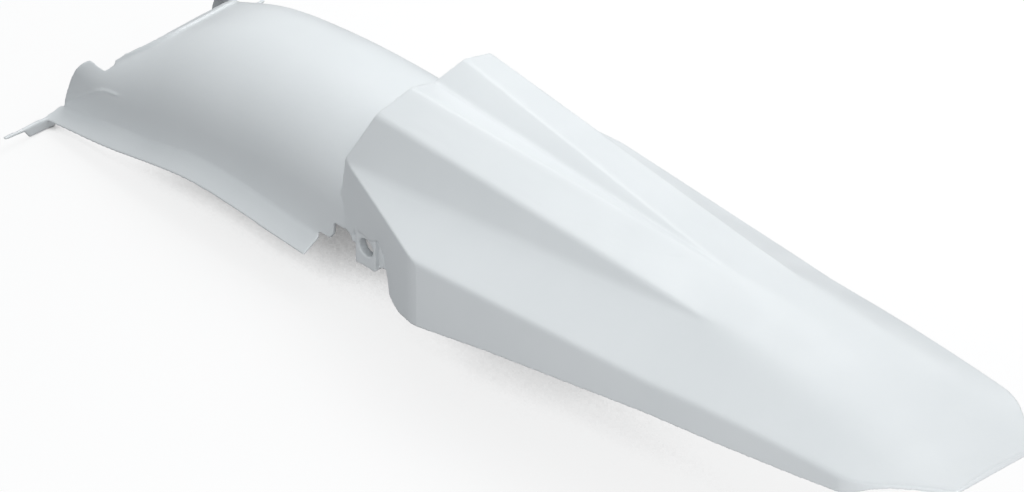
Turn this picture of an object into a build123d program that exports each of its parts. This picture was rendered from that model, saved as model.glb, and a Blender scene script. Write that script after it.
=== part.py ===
from build123d import *
import math
import os

os.makedirs("parts", exist_ok=True)

# Frame of the part: X runs rearward to the tail, Y to the rider's right, Z up.
# The origin is midway between the two side bolt holes, on their common axis.

# Moulding
wall = 2.6
crease_round = 2.4
crease_facets = 3
shoulder_edge_round = 2.4
shoulder_facets = 3

# Tail blade: valley, ridges, strips, flanks and panels at its front
valley_height = 84.5
valley_front_x = -9.0
ridge_half_spacing = 21.5
ridge_rise = 8.7
strip_edge_half = 45.6
strip_edge_drop = 1.5
panel_edge_half = 59.0
panel_edge_drop = 36.0
panel_edge_x = -19.0
riser_lean = 0.4
riser_low_lean = 0.19

# Widest place of the blade
shoulder_x = 64.7
shoulder_half = 85.0
shoulder_height = 37.3
shoulder_round = 45.0

# Where the valley, and behind it the flanks, run out into the smooth tail
valley_end_x = 224.0
runout_x = 253.0
runout_half = 35.3
runout_gap = 0.5
runout_step = 1.9
runout_ridge = 2.4
runout_rise = 0.7
runout_crown = 0.0069

# Tail end
tail_x = 467.0
tail_half = 30.9
tail_height = 66.9
tail_crown = 0.0021
tail_corner_x = 416.0
tail_corner_half = 64.0
tail_corner_round = 70.0
tail_end_round = 6.0

# Wheel arch stations: x, crown height, shoulder radius
arch_half = 59.0
arch_draft = 1.5
arch_steps = 9
inner_facets = 6
arch_stations = [(40.0, 63.0, 52.0), (-30.0, 60.7, 53.0), (-90.0, 57.7, 54.0), (-132.0, 52.2, 54.0),
                 (-170.0, 43.8, 53.0), (-201.0, 30.2, 48.0), (-217.0, 19.0, 41.0), (-235.0, 10.4, 31.0),
                 (-252.0, 2.5, 25.0), (-284.0, -10.0, 21.0)]

# Front rim of the arch seen from above, with the stiffening lip behind it
rim_centre_x = -217.0
rim_side = [(-218.5, 25.0), (-231.0, 40.0), (-241.0, 51.5)]
lip_side = [(-213.0, 25.0), (-228.5, 40.5), (-241.5, 50.5)]
lip_width = 7.0
lip_rise = 1.5

# Ears at the front corners: their rounded front and the bead under it, in the side view
ear_front = [(-244.0, -3.6), (-250.0, -3.7), (-256.0, -6.6), (-261.3, -12.8), (-264.6, -20.0),
             (-267.3, -28.2), (-270.3, -41.0)]
bead_line = [(-268.0, -39.0), (-251.5, -26.2), (-238.0, -16.5), (-225.0, -13.2)]
bead_width = 1.8
bead_rise = 0.9

# Side flanges: x, height of the fold, height of the outer edge
flange_half = 70.6
flange_stations = [(-45.0, -17.5, -25.1), (-145.0, -17.5, -25.1), (-167.0, -21.4, -28.7),
                   (-196.0, -29.3, -35.3), (-222.0, -34.3, -41.2), (-253.0, -41.2, -46.0),
                   (-274.0, -46.0, -49.0)]
flange_edge = 1.4
flange_corner_cut = 9.0

# Front tabs
tab_x = -272.2
tab_thick = 2.2
tab_profile = [(57.0, -46.6), (70.0, -48.2), (103.5, -46.9), (103.5, -48.6), (88.0, -50.2), (84.0, -56.0),
               (64.0, -57.0), (57.0, -50.0)]

# Side lugs, each in a pocket of the side wall that is open below
bolt_hole = 11.8
lug_x = -0.5
lug_length = 18.0
lug_outer = 62.5
lug_top = 9.0
lug_bottom = -14.6
pocket_floor = 59.0
pocket_window = [(-13.0, -40.0), (-13.0, 1.5), (-9.5, 8.0), (9.5, 12.0), (19.5, 19.0), (27.0, 15.0),
                 (30.5, 5.0), (33.5, -4.0), (37.0, -40.0)]
pocket_frame = [(-15.6, -40.0), (-15.6, 2.8), (-11.0, 10.6), (9.0, 14.8), (19.0, 22.0), (29.2, 17.3),
                (33.2, 5.5), (36.2, -3.5), (39.7, -40.0)]

# Side view of the lower edge behind the flanges, front to tail
lower_edge = [(-52.0, -18.8), (-44.0, -15.0), (-36.0, -14.5), (-33.5, -11.0), (-33.0, -2.5), (-17.0, -1.0),
              (-11.0, -6.5), (-9.5, -14.6), (7.5, -13.8), (9.0, -11.5), (34.0, -9.0), (40.0, -12.0),
              (46.5, -13.4), (59.5, -11.0), (122.0, 1.6), (251.0, 23.6), (310.0, 31.4), (369.0, 40.5),
              (404.0, 46.6), (414.0, 50.5), (424.0, 56.2), (434.0, 59.4), (446.0, 61.0), (467.0, 62.0),
              (530.0, 62.0)]

# The bodies run wide and deep of the finished shape and are trimmed after
floor_height = -70.0
over = 30.0
beyond = 200.0


def mix(a, b, f):
    return a + (b - a) * f


def between(p, q, f):
    return (mix(p[0], q[0], f), mix(p[1], q[1], f))


def along(table, x, column):
    """Smooth value of one column of a table of stations at x."""
    rows = sorted(table)
    xs = [row[0] for row in rows]
    vs = [row[column] for row in rows]
    n = len(xs)
    rise = [(vs[i + 1] - vs[i]) / (xs[i + 1] - xs[i]) for i in range(n - 1)]
    slope = [rise[0]] + [(rise[i - 1] + rise[i]) / 2 for i in range(1, n - 1)] + [rise[-1]]
    i = 0
    while i < n - 2 and x > xs[i + 1]:
        i += 1
    h = xs[i + 1] - xs[i]
    s = (x - xs[i]) / h
    value = (2 * s ** 3 - 3 * s ** 2 + 1) * vs[i] + (3 * s ** 2 - 2 * s ** 3) * vs[i + 1]
    return value + (s ** 3 - 2 * s ** 2 + s) * h * slope[i] + (s ** 3 - s ** 2) * h * slope[i + 1]


def inward(points, depth):
    """The same chain of points moved square to its lines, to its right-hand side."""
    lines = []
    for a, b in zip(points, points[1:]):
        d = math.dist(a, b)
        n = ((b[1] - a[1]) / d, -(b[0] - a[0]) / d)
        lines.append((a[0] + n[0] * depth, a[1] + n[1] * depth, b[0] - a[0], b[1] - a[1]))
    moved = [(lines[0][0], lines[0][1])]
    for p, q in zip(lines, lines[1:]):
        cross = p[2] * q[3] - p[3] * q[2]
        if abs(cross) < 1e-6:
            moved.append((q[0], q[1]))
        else:
            s = ((q[0] - p[0]) * q[3] - (q[1] - p[1]) * q[2]) / cross
            moved.append((p[0] + p[2] * s, p[1] + p[3] * s))
    last = lines[-1]
    moved.append((last[0] + last[2], last[1] + last[3]))
    return moved


def side_prism(edges):
    """Solid across the whole width from a closed outline in the side view at y = beyond."""
    return extrude(Face(Wire(edges)), amount=2 * beyond, dir=(0, -1, 0))


def side_slab(points, side, y_from, y_to):
    """Slab between two distances from the centre, from an outline in the side view."""
    outline = Polyline(*[(x, side * y_from, z) for x, z in points], close=True)
    return extrude(Face(Wire(outline.edges())), amount=y_to - y_from, dir=(0, side, 0))


def plan_prism(edges):
    """Tall solid from a closed outline seen from above."""
    return extrude(Face(Wire(edges)), amount=2 * beyond).moved(Location((0, 0, -beyond)))


def corner_chain(points, corners, x):
    """Lines through the points; each inner corner is a soft curve, or facets along one."""
    edges = []
    start = points[0]
    for before, p, after, (reach, facets) in zip(points, points[1:], points[2:], corners):
        a = between(p, before, min(reach / math.dist(p, before), 0.34))
        b = between(p, after, min(reach / math.dist(p, after), 0.34))
        edges.append(Line((x, *start), (x, *a)))
        if facets:
            bends = [between(between(a, p, i / facets), between(p, b, i / facets), i / facets)
                     for i in range(facets + 1)]
            edges += [Line((x, *q), (x, *r)) for q, r in zip(bends, bends[1:])]
        elif reach:
            edges.append(Bezier((x, *a), (x, *p), (x, *b)))
        start = b
    edges.append(Line((x, *start), (x, *points[-1])))
    return edges


def blade_half(x):
    """Half section of the blade's upper skin, from the centre line outward."""
    valley_run = max((valley_end_x - x) / (valley_end_x - valley_front_x), 0.0)
    fade = min((runout_x - x) / (runout_x - valley_end_x), 1.0)
    run = (runout_x - x) / (runout_x - valley_front_x)
    edge_run = (runout_x - x) / (runout_x - panel_edge_x)
    edge_height = valley_height - runout_crown * runout_half ** 2
    at_end = [(runout_ridge, valley_height + runout_rise * fade),
              (runout_half - runout_gap, edge_height + runout_step / 2),
              (runout_half + runout_gap, edge_height - runout_step / 2)]
    at_front = [(ridge_half_spacing, valley_height + ridge_rise),
                (strip_edge_half, valley_height - strip_edge_drop),
                (panel_edge_half, valley_height - panel_edge_drop)]
    runs = (valley_run, run, edge_run)
    return [(0.0, valley_height)] + [between(a, b, f) for a, b, f in zip(at_end, at_front, runs)]


def shoulder_line(x):
    return mix(shoulder_half, tail_corner_half, (x - shoulder_x) / (tail_corner_x - shoulder_x))


def panel_slope(x, edge_height):
    inner = blade_half(x)[-1]
    return (edge_height - inner[1]) / (shoulder_line(x) - inner[0])


def front_section(x):
    """Half section ahead of the run-out: valley, ridge, strip, flank, panel, skirt."""
    points = blade_half(x)
    y_edge = shoulder_line(x)
    end_height = valley_height - runout_crown * shoulder_line(runout_x) ** 2
    f = (x - shoulder_x) / (runout_x - shoulder_x)
    slope = mix(panel_slope(shoulder_x, shoulder_height), panel_slope(runout_x, end_height), f)
    y_in, z_in = points[-1]
    return points + [(y_edge, z_in + slope * (y_edge - y_in)), (y_edge, floor_height - over)]


def rear_section(x):
    """Half section behind the run-out: a smooth crown that flattens to the tail."""
    f = max((x - runout_x) / (tail_x - runout_x), 0.0)
    top = valley_height - (valley_height - tail_height) * f ** 1.6
    crown = mix(runout_crown, tail_crown, min(f ** 1.25, 1.05))
    y_edge = shoulder_line(x)
    spread = (9.0, mix(31.0, 26.0, f), mix(39.5, 42.0, f))
    skin = [(y, top - crown * y ** 2) for y in (0.0, *spread, y_edge)]
    return skin + [(y_edge, floor_height - over)]


def blade_face(x, half, reach, depth):
    """Closed section of the blade body at x, its skin moved in by depth."""
    full = [(-y, z) for y, z in reversed(half[1:])] + half
    edge = (shoulder_edge_round, shoulder_facets)
    corners = [edge] + [(reach, crease_facets)] * (len(full) - 4) + [edge]
    if depth:
        full = inward(full, depth)
        corners = [(0.0, 0)] * len(corners)
    edges = corner_chain(full, corners, x)
    edges.append(Line((x, *full[-1]), (x, *full[0])))
    return Face(Wire(edges))


def blade_body(depth):
    start = valley_front_x - 60.0
    full_reach = 99.0
    runout = blade_face(runout_x, front_section(runout_x), crease_round, depth)
    steps = [mix(runout_x, tail_x + 20.0, i / 5) for i in range(1, 6)]
    rear = [blade_face(x, rear_section(x), full_reach, depth) for x in steps]
    front = [blade_face(x, front_section(x), crease_round, depth) for x in (start, valley_end_x)]
    return loft(front + [runout], ruled=True) + loft([runout] + rear)


def plan_outline(inset):
    """Outline of the blade seen from above, drawn in by inset."""
    rate = (shoulder_half - panel_edge_half) / (shoulder_x - panel_edge_x)
    x0 = panel_edge_x - 70.0
    out = 0.4
    x1 = shoulder_x + out / (rate + (shoulder_half - tail_corner_half) / (tail_corner_x - shoulder_x))
    right = [(x0, panel_edge_half + rate * (x0 - panel_edge_x)), (x1, shoulder_line(x1) + out),
             (tail_corner_x, tail_corner_half + out), (tail_x, tail_half)]
    left = [(x, -y) for x, y in reversed(right)]
    with BuildSketch() as plan:
        with BuildLine():
            Polyline(*right, *left, close=True)
        make_face()
        rounds = [(x1, shoulder_round), (tail_corner_x, tail_corner_round), (tail_x, tail_end_round)]
        for x, radius in rounds:
            fillet(plan.vertices().filter_by(lambda v: abs(v.X - x) < 1), radius)
        if inset:
            offset(amount=-inset)
    return plan.sketch


def riser_front(z, inset):
    """Place of the sloping front wall at a height: it leans more above the panels than below."""
    bend = valley_height - panel_edge_drop
    x = valley_front_x + riser_lean * (max(z, bend) - valley_height) + riser_low_lean * (min(z, bend) - bend)
    return x + inset * math.hypot(1.0, riser_lean)


def blade_block(inset):
    """Solid blade with its sloping front wall, drawn in by inset."""
    plan = extrude(plan_outline(inset), amount=400.0).moved(Location((0, 0, floor_height - 5 * inset)))
    high, low = 150.0, floor_height - 20.0
    far = tail_x + 60.0
    front = [(riser_front(z, inset), z) for z in (low, valley_height - panel_edge_drop, high)]
    corners = front + [(far, high), (far, low)]
    lean = side_prism(Polyline(*[(x, beyond, z) for x, z in corners], close=True).edges())
    return blade_body(inset) & plan & lean


def arch_shoulder(x, corners, facets):
    """Round shoulder of the arch section through its four control points, or facets along it."""
    curve = Bezier(*[(x, y, z) for y, z in corners])
    if not facets:
        return [curve]
    return [Line(curve @ (i / facets), curve @ ((i + 1) / facets)) for i in range(facets)]


def arch_face(x, inset):
    """Closed section of the wheel arch at x: round-shouldered with slightly spread walls."""
    top = along(arch_stations, x, 1) - inset
    r = along(arch_stations, x, 2) - inset
    half = arch_half - arch_draft - inset
    foot = arch_half + 2.0 - inset
    low = floor_height - 5 * inset
    k = 0.5523 * r
    facets = inner_facets if inset > 0 else 0
    right = [(half - r, top), (half - r + k, top), (half, top - r + k), (half, top - r)]
    left = [(-y, z) for y, z in reversed(right)]
    edges = [Line((x, -foot, low), (x, *left[0]))] + arch_shoulder(x, left, facets)
    edges += [Line((x, *left[-1]), (x, *right[0]))] + arch_shoulder(x, right, facets)
    edges += [Line((x, *right[-1]), (x, foot, low)), Line((x, foot, low), (x, -foot, low))]
    return Face(Wire(edges))


def arch_block(inset):
    """Solid wheel arch, drawn in by inset or swollen where it is negative."""
    rear = arch_stations[0][0] + 3 * inset
    front = arch_stations[-1][0] - 3 * inset
    return loft([arch_face(mix(rear, front, i / arch_steps), inset) for i in range(arch_steps + 1)])


def ahead_of(centre_x, half):
    """All that lies ahead of a curve across the arch, given at its centre and on one side."""
    points = [(x, -y) for x, y in reversed(half)] + [(centre_x, 0.0)] + half
    last = points[-1]
    back = Polyline(last, (-2 * beyond, last[1]), (-2 * beyond, -last[1]), points[0])
    return plan_prism([Spline(*points)] + back.edges())


def lip():
    """Raised band along the front rim that runs out to both sides."""
    return arch_block(-lip_rise) & ahead_of(rim_centre_x + lip_width, lip_side)


def bead(side):
    """Raised line on the side wall under the ear."""
    steps = 10
    upper, lower = [], []
    for i in range(steps + 1):
        x = mix(bead_line[0][0], bead_line[-1][0], i / steps)
        z = along(bead_line, x, 1)
        half_width = bead_width / 2 * (1 - (i / steps) ** 3)
        upper.append((x, z + half_width))
        lower.append((x, z - half_width))
    outline = upper + lower[-2::-1]
    return arch_block(-bead_rise) & side_slab(outline, side, arch_half / 2, 2 * arch_half)


def ear_cut():
    """What lies ahead of the rounded front of the ears."""
    points = [(x, beyond, z) for x, z in ear_front]
    front, low, high = -2 * beyond, -beyond, 20.0
    last = points[-1]
    first = points[0]
    back = Polyline(last, (last[0], beyond, low), (front, beyond, low), (front, beyond, high),
                    (first[0], beyond, high), first)
    return side_prism([Spline(*points)] + back.edges())


def flange(side):
    """Outward fold along the lower edge of one arch wall, with its rear corner cut off."""
    sections = []
    rear, front = flange_stations[0][0], flange_stations[-1][0]
    for i in range(13):
        x = mix(rear, front, i / 12)
        z_fold = along(flange_stations, x, 1)
        z_edge = along(flange_stations, x, 2)
        y_in = arch_half - 1.0
        slope = (z_edge - z_fold) / (flange_half - arch_half)
        z_in = z_fold - slope * (arch_half - y_in)
        pts = [(y_in, z_in), (flange_half, z_edge), (flange_half, z_edge - flange_edge),
               (y_in, z_in - wall)]
        sections.append(Face(Wire(Polyline(*[(x, side * y, z) for y, z in pts], close=True).edges())))
    cut = flange_corner_cut
    corner = [(rear - cut, flange_half + 0.5), (rear - cut / 2, flange_half - 0.3 * cut),
              (rear, arch_half + 1), (rear + 1, arch_half + 1), (rear + 1, flange_half + 0.5)]
    corner = [(x, side * y) for x, y in corner]
    return loft(sections) - plan_prism(Polyline(*corner, close=True).edges())


def front_tab(side):
    pts = [(tab_x, side * y, z) for y, z in tab_profile]
    return extrude(Face(Wire(Polyline(*pts, close=True).edges())), amount=tab_thick, dir=(-1, 0, 0))


def lug(side):
    block = Box(lug_length, lug_outer - pocket_floor + wall, lug_top - lug_bottom)
    y = side * (lug_outer + pocket_floor - wall) / 2
    return block.moved(Location((lug_x, y, (lug_top + lug_bottom) / 2)))


def lower_cut():
    """What lies below the fold of the flanges and the lower edge behind them."""
    front, rear = flange_stations[-1][0] - 20.0, lower_edge[0][0] - 6.0
    xs = [mix(front, rear, i / 20) for i in range(21)]
    fold = [(x, along(flange_stations, x, 1) - wall / 2) for x in xs]
    points = fold + lower_edge + [(lower_edge[-1][0], -beyond), (fold[0][0], -beyond)]
    return side_prism(Polyline(*[(x, beyond, z) for x, z in points], close=True).edges())


# Outer form hollowed out to the wall
blade = blade_block(0.0)
fender = blade + arch_block(0.0) + lip() + bead(-1) + bead(1)
fender = fender - arch_block(wall)
fender = fender - blade_block(wall)

# Pockets and lugs in the side walls
for side in (-1, 1):
    fender = fender + (side_slab(pocket_frame, side, pocket_floor - wall, 2 * arch_half) & blade)
    fender = fender - side_slab(pocket_window, side, pocket_floor, 2 * arch_half)
    fender = fender + lug(side)

# Lower edge, front rim and ears
fender = fender - lower_cut()
fender = fender - ahead_of(rim_centre_x, rim_side)
fender = fender - ear_cut()

# Flanges and front tabs
for side in (-1, 1):
    fender = fender + flange(side)
    fender = fender + front_tab(side)

# Bolt holes
fender = fender - Cylinder(bolt_hole / 2, 4 * lug_outer, rotation=(90, 0, 0))
export_step(fender, "parts/rear_fender.step")
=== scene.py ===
import math

import bpy
import numpy as np
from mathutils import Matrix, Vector
from mathutils.kdtree import KDTree


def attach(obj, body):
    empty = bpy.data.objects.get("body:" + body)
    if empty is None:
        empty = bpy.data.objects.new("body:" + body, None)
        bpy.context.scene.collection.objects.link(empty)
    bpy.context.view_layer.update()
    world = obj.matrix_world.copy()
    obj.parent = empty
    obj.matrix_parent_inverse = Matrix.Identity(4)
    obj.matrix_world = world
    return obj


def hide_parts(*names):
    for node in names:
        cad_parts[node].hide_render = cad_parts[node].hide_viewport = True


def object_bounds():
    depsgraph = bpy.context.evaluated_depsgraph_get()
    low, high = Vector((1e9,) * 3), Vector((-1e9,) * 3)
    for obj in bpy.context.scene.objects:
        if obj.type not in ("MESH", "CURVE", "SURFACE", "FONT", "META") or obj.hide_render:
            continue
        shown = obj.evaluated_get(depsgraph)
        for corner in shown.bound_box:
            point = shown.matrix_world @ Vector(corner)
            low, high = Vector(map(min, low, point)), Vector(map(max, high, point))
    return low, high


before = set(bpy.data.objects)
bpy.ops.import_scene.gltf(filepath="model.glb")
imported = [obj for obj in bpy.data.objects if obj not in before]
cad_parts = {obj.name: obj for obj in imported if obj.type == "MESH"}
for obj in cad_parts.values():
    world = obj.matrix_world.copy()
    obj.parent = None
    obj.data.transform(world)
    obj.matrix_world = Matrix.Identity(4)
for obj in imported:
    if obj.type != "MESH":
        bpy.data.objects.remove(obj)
cad_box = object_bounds()

# Photograph's frame and the view it was taken from
IMAGE_WIDTH = 1024
PIXELS_PER_METRE = 1707.2
VIEW_AZIMUTH = math.radians(47.46)
VIEW_ELEVATION = math.radians(36.38)
VIEW_CENTRE = Vector((0.0371, 0.0194, -0.0193))
CAMERA_DISTANCE = 13.0
CLIP_DISTANCE = 2.0 * CAMERA_DISTANCE
SENSOR_WIDTH = 36.0

# Even fine mesh of the moulded skin, and how the sharp edges of the solid under it are found
WELD_STEP = 1e-6
FINE_STEP = 0.0008
TRIANGLES = 190000
SHARP_ANGLE = math.radians(20.0)
SAMPLE_STEP = 0.001
SMALLEST_AREA = 1e-18

# Smoothing of the skin: a few passes soften all edges, then many passes fair the arch and the tail,
# but not beside their outer edges, little in their inner corners, and partly at the front lip's ends
SMOOTH_FACTOR = 0.5
EDGE_PASSES = 5
SKIN_PASSES = 70
WEIGHT_LEVELS = 12
ARCH_END_X = -0.012
TAIL_START_X = 0.256
BLEND_X = 0.02
SKIN_CLEAR = (0.0015, 0.0075)
FILLET_SHARE = 0.06
LIP_END = np.array((-0.2385, 0.0485, 0.002))
LIP_END_REACH = (0.004, 0.010)
LIP_END_SHARE = 0.35

# White polypropylene: the tones of its flow clouding and its range of roughness, then the waves per
# metre and the detail of each texture, and the strength and depth of each relief
PLASTIC_LOW = (0.795, 0.828, 0.842)
PLASTIC_HIGH = (0.825, 0.855, 0.868)
PLASTIC_IOR = 1.49
ROUGHNESS = (0.33, 0.43)
FLOW_WAVES = (14.0, 4.0)
SHEEN_WAVES = (45.0, 3.0)
RIPPLE_WAVES = (260.0, 1.0)
RIPPLE_RELIEF = (0.10, 0.0004)
GRAIN_WAVES = (1500.0, 2.0)
GRAIN_RELIEF = (0.12, 0.0001)
NOISE_MIDDLE = (0.3, 0.7)

# Studio: softboxes with their places, watts and sizes, and the even light around the part
SOFTBOXES = [
    ("key", (-0.18, 0.38, 0.80), 3.1, 0.6),
    ("top", (0.00, 0.10, 0.90), 1.1, 0.6),
    ("far", (0.15, 0.70, 0.35), 1.4, 0.6),
    ("fill", (0.38, -0.70, 0.14), 2.0, 0.6),
    ("rear", (1.00, -0.10, 0.01), 1.8, 0.12),
]
LIT_POINT = Vector((0.15, 0.0, 0.04))
AROUND_COLOUR = (0.95, 0.98, 1.0)
AROUND_STRENGTH = 0.5
WHITE = (1.0, 1.0, 1.0)

# Floor: its half width, its tone as a surface, how much of the white seen on it takes no cast shadow,
# and the shade painted into that white by how open to the room it is, within its reach: where the
# white starts and where it is full
FLOOR_HALF = 6.0
FLOOR_COLOUR = (0.20, 0.20, 0.21)
FLOOR_WHITE = 0.8
FLOOR_PAINTED_SHADE_RAMP = (0.15, 0.30)
FLOOR_PAINTED_SHADE_REACH = 0.2


def smoothstep(low, high, value):
    share = np.clip((value - low) / (high - low), 0.0, 1.0)
    return share * share * (3.0 - 2.0 * share)


def new_object(name, data):
    """Object in the scene that shows a mesh, a light or a camera."""
    obj = bpy.data.objects.new(name, data)
    bpy.context.scene.collection.objects.link(obj)
    return obj


def evaluated(obj):
    """Mesh of an object with its modifiers applied, and the object removed."""
    mesh = bpy.data.meshes.new_from_object(obj.evaluated_get(bpy.context.evaluated_depsgraph_get()))
    bpy.data.objects.remove(obj)
    return mesh


def coat(obj, material):
    obj.data.materials.clear()
    obj.data.materials.append(material)


def points_of(mesh):
    points = np.empty(len(mesh.vertices) * 3)
    mesh.vertices.foreach_get("co", points)
    return points.reshape(-1, 3)


def welded_triangles(mesh):
    """Points of a solid, each of them once, and its triangles as numbers of those points."""
    points = points_of(mesh)
    corners = np.empty(len(mesh.loops), int)
    mesh.loops.foreach_get("vertex_index", corners)
    places = np.round(points / WELD_STEP).astype(int)
    _, first, number = np.unique(places, axis=0, return_index=True, return_inverse=True)
    return points[first], number.reshape(-1)[corners.reshape(-1, 3)]


def search_tree(points):
    tree = KDTree(len(points))
    for number, point in enumerate(points):
        tree.insert(point, number)
    tree.balance()
    return tree


def edge_trees(mesh):
    """Points along the sharp outer edges and along the sharp inner corners of a solid."""
    points, triangles = welded_triangles(mesh)
    a, b, c = (points[triangles[:, corner]] for corner in range(3))
    normal = np.cross(b - a, c - a)
    normal /= np.linalg.norm(normal, axis=1, keepdims=True) + SMALLEST_AREA
    centre = points[triangles].mean(axis=1)
    owners = {}
    for face, (p, q, r) in enumerate(triangles.tolist()):
        for start, end in ((p, q), (q, r), (r, p)):
            owners.setdefault((min(start, end), max(start, end)), []).append(face)
    outer, inner = [], []
    for (start, end), faces in owners.items():
        if len(faces) != 2 or normal[faces[0]] @ normal[faces[1]] > math.cos(SHARP_ANGLE):
            continue
        along = points[end] - points[start]
        steps = max(int(np.linalg.norm(along) / SAMPLE_STEP), 1)
        line = [points[start] + along * step / steps for step in range(steps + 1)]
        bend = (centre[faces[1]] - centre[faces[0]]) @ normal[faces[0]]
        (outer if bend < 0 else inner).extend(line)
    return search_tree(outer), search_tree(inner)


def skin_weights(points, outer, inner):
    """How strongly each point of the skin is faired, from none on the blade to fully on open skins."""
    x, y, z = points.T
    arch = 1.0 - smoothstep(ARCH_END_X - BLEND_X, ARCH_END_X, x)
    tail = smoothstep(TAIL_START_X, TAIL_START_X + BLEND_X, x)
    to_outer = np.array([outer.find(point)[2] for point in points])
    to_inner = np.array([inner.find(point)[2] for point in points])
    clear = smoothstep(*SKIN_CLEAR, to_outer)
    fillet = np.maximum(smoothstep(*SKIN_CLEAR, to_inner), FILLET_SHARE)
    from_lip_end = np.linalg.norm(np.column_stack((x, np.abs(y), z)) - LIP_END, axis=1)
    lip_end = LIP_END_SHARE * (1.0 - smoothstep(*LIP_END_REACH, from_lip_end))
    return np.maximum(np.maximum(arch, tail) * clear * fillet, lip_end)


def weigh(obj, name, weights):
    """Vertex group with the weights, rounded to a few levels."""
    group = obj.vertex_groups.new(name=name)
    rounded = np.round(weights * WEIGHT_LEVELS).astype(int)
    for level in range(1, WEIGHT_LEVELS + 1):
        members = np.flatnonzero(rounded == level)
        if len(members):
            group.add(members.tolist(), level / WEIGHT_LEVELS, "REPLACE")


def smooth(obj, name, passes, group=""):
    """Smoothing of a whole object, or as far as a vertex group weighs it."""
    modifier = obj.modifiers.new(name, "SMOOTH")
    modifier.factor = SMOOTH_FACTOR
    modifier.iterations = passes
    modifier.vertex_group = group


def moulded_shell(node):
    """The CAD solid as one fine skin with soft edges, fillets and fair curved surfaces."""
    outer, inner = edge_trees(node.data)
    shell = new_object("shell", node.data.copy())
    weld = shell.modifiers.new("weld", "WELD")
    weld.merge_threshold = WELD_STEP
    even = shell.modifiers.new("even", "REMESH")
    even.mode = "VOXEL"
    even.voxel_size = FINE_STEP
    shell = new_object("shell", evaluated(shell))
    weigh(shell, "skins", skin_weights(points_of(shell.data), outer, inner))
    smooth(shell, "soften", EDGE_PASSES)
    smooth(shell, "fair", SKIN_PASSES, "skins")
    # The even mesh is made of quads, which are two triangles each
    lighter = shell.modifiers.new("lighter", "DECIMATE")
    lighter.ratio = TRIANGLES / (2.0 * len(shell.data.polygons))
    mesh = evaluated(shell)
    mesh.name = "fender_skin"
    mesh.polygons.foreach_set("use_smooth", np.ones(len(mesh.polygons), bool))
    return new_object("fender_skin", mesh)


def noise(tree, place, scale, detail):
    """Noise texture laid out in the part's own metres."""
    texture = tree.nodes.new("ShaderNodeTexNoise")
    texture.inputs["Scale"].default_value = scale
    texture.inputs["Detail"].default_value = detail
    tree.links.new(place, texture.inputs["Vector"])
    return texture.outputs["Fac"]


def spread(tree, value, low, high):
    """The middle of a noise stretched over a range."""
    stretch = tree.nodes.new("ShaderNodeMapRange")
    stretch.inputs["From Min"].default_value = NOISE_MIDDLE[0]
    stretch.inputs["From Max"].default_value = NOISE_MIDDLE[1]
    stretch.inputs["To Min"].default_value = low
    stretch.inputs["To Max"].default_value = high
    tree.links.new(value, stretch.inputs["Value"])
    return stretch.outputs["Result"]


def relief(tree, height, strength, distance, under=None):
    """Bump, by itself or laid over another one."""
    bump = tree.nodes.new("ShaderNodeBump")
    bump.inputs["Strength"].default_value = strength
    bump.inputs["Distance"].default_value = distance
    tree.links.new(height, bump.inputs["Height"])
    if under:
        tree.links.new(under, bump.inputs["Normal"])
    return bump.outputs["Normal"]


def plastic():
    """White moulded polypropylene: satin gloss, faint flow clouding and a fine moulded grain."""
    material = bpy.data.materials.new("white_polypropylene")
    material.use_nodes = True
    tree = material.node_tree
    shader = tree.nodes["Principled BSDF"]
    shader.inputs["IOR"].default_value = PLASTIC_IOR
    place = tree.nodes.new("ShaderNodeTexCoord").outputs["Object"]
    clouds = tree.nodes.new("ShaderNodeMix")
    clouds.data_type = "RGBA"
    clouds.inputs["A"].default_value = (*PLASTIC_LOW, 1.0)
    clouds.inputs["B"].default_value = (*PLASTIC_HIGH, 1.0)
    flow = spread(tree, noise(tree, place, *FLOW_WAVES), 0.0, 1.0)
    tree.links.new(flow, clouds.inputs["Factor"])
    tree.links.new(clouds.outputs["Result"], shader.inputs["Base Color"])
    sheen = spread(tree, noise(tree, place, *SHEEN_WAVES), *ROUGHNESS)
    tree.links.new(sheen, shader.inputs["Roughness"])
    ripple = relief(tree, noise(tree, place, *RIPPLE_WAVES), *RIPPLE_RELIEF)
    grain = relief(tree, noise(tree, place, *GRAIN_WAVES), *GRAIN_RELIEF, under=ripple)
    tree.links.new(grain, shader.inputs["Normal"])
    return material


def split_by_eye(tree, lighting, seen, output):
    """One shader for the light that reaches the part, and another for what the camera sees."""
    eye = tree.nodes.new("ShaderNodeMixShader")
    tree.links.new(tree.nodes.new("ShaderNodeLightPath").outputs["Is Camera Ray"], eye.inputs["Fac"])
    tree.links.new(lighting, eye.inputs[1])
    tree.links.new(seen, eye.inputs[2])
    tree.links.new(eye.outputs["Shader"], tree.nodes[output].inputs["Surface"])


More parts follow.
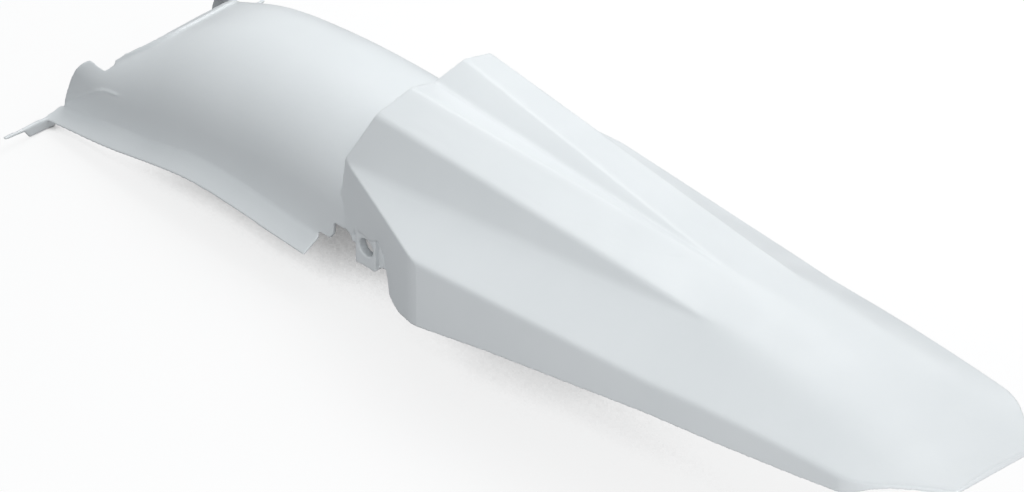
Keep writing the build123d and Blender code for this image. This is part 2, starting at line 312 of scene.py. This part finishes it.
def paper():
    """Matte floor to the part, and white to the eye with the part's faint soft shadow, partly real and
    partly painted shade where the part covers the floor.
    """
    material = bpy.data.materials.new("floor")
    material.use_nodes = True
    tree = material.node_tree
    matte = tree.nodes["Principled BSDF"]
    matte.inputs["Base Color"].default_value = (*FLOOR_COLOUR, 1.0)
    matte.inputs["Roughness"].default_value = 1.0
    matte.inputs["Specular IOR Level"].default_value = 0.0
    shade = tree.nodes.new("ShaderNodeBsdfDiffuse")
    shade.inputs["Color"].default_value = (*WHITE, 1.0)
    glow = tree.nodes.new("ShaderNodeEmission")
    glow.inputs["Strength"].default_value = 1.0
    # Painted shadow: the white glow is darkened where the part shuts the floor in, under it and
    # through the bore
    occlusion = tree.nodes.new("ShaderNodeAmbientOcclusion")
    occlusion.inputs["Distance"].default_value = FLOOR_PAINTED_SHADE_REACH
    painted_shade = tree.nodes.new("ShaderNodeMapRange")
    painted_shade.inputs["From Min"].default_value = FLOOR_PAINTED_SHADE_RAMP[0]
    painted_shade.inputs["From Max"].default_value = FLOOR_PAINTED_SHADE_RAMP[1]
    tree.links.new(occlusion.outputs["AO"], painted_shade.inputs["Value"])
    tree.links.new(painted_shade.outputs["Result"], glow.inputs["Color"])
    seen = tree.nodes.new("ShaderNodeMixShader")
    seen.inputs["Fac"].default_value = FLOOR_WHITE
    tree.links.new(shade.outputs["BSDF"], seen.inputs[1])
    tree.links.new(glow.outputs["Emission"], seen.inputs[2])
    split_by_eye(tree, matte.outputs["BSDF"], seen.outputs["Shader"], "Material Output")
    return material


def floor():
    """Plain floor at the part's lowest point."""
    low = cad_box[0][2]
    corners = [(FLOOR_HALF * x, FLOOR_HALF * y, low) for x, y in ((-1, -1), (1, -1), (1, 1), (-1, 1))]
    mesh = bpy.data.meshes.new("floor")
    mesh.from_pydata(corners, [], [(0, 1, 2, 3)])
    plane = new_object("floor", mesh)
    mesh.materials.append(paper())


def surroundings():
    """Even studio surroundings that light the part, seen as white where they show."""
    world = bpy.data.worlds.new("studio")
    world.use_nodes = True
    tree = world.node_tree
    around = tree.nodes["Background"]
    around.inputs["Color"].default_value = (*AROUND_COLOUR, 1.0)
    around.inputs["Strength"].default_value = AROUND_STRENGTH
    backdrop = tree.nodes.new("ShaderNodeBackground")
    backdrop.inputs["Color"].default_value = (*WHITE, 1.0)
    backdrop.inputs["Strength"].default_value = 1.0
    split_by_eye(tree, around.outputs["Background"], backdrop.outputs["Background"], "World Output")
    return world


def softbox(name, position, power, size):
    data = bpy.data.lights.new(name, "AREA")
    data.size = size
    data.energy = power
    light = new_object(name, data)
    light.location = position
    light.rotation_euler = (LIT_POINT - Vector(position)).to_track_quat("-Z", "Y").to_euler()


def camera():
    """The photograph's camera, far away with a long lens."""
    data = bpy.data.cameras.new("camera")
    field = IMAGE_WIDTH / PIXELS_PER_METRE
    data.sensor_width = SENSOR_WIDTH
    data.lens = SENSOR_WIDTH * CAMERA_DISTANCE / field
    data.clip_end = CLIP_DISTANCE
    back = Vector((math.sin(VIEW_AZIMUTH) * math.cos(VIEW_ELEVATION),
                   -math.cos(VIEW_AZIMUTH) * math.cos(VIEW_ELEVATION),
                   math.sin(VIEW_ELEVATION)))
    eye = new_object("camera", data)
    eye.location = VIEW_CENTRE + back * CAMERA_DISTANCE
    eye.rotation_euler = (-back).to_track_quat("-Z", "Y").to_euler()
    bpy.context.scene.camera = eye


scene = bpy.context.scene
scene.view_settings.view_transform = "Standard"
scene.world = surroundings()

white_plastic = plastic()
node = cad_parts["rear_fender"]
coat(node, white_plastic)
skin = moulded_shell(node)
coat(skin, white_plastic)
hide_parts("rear_fender")
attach(skin, "root")
floor()
for name, position, power, size in SOFTBOXES:
    softbox(name, position, power, size)
camera()
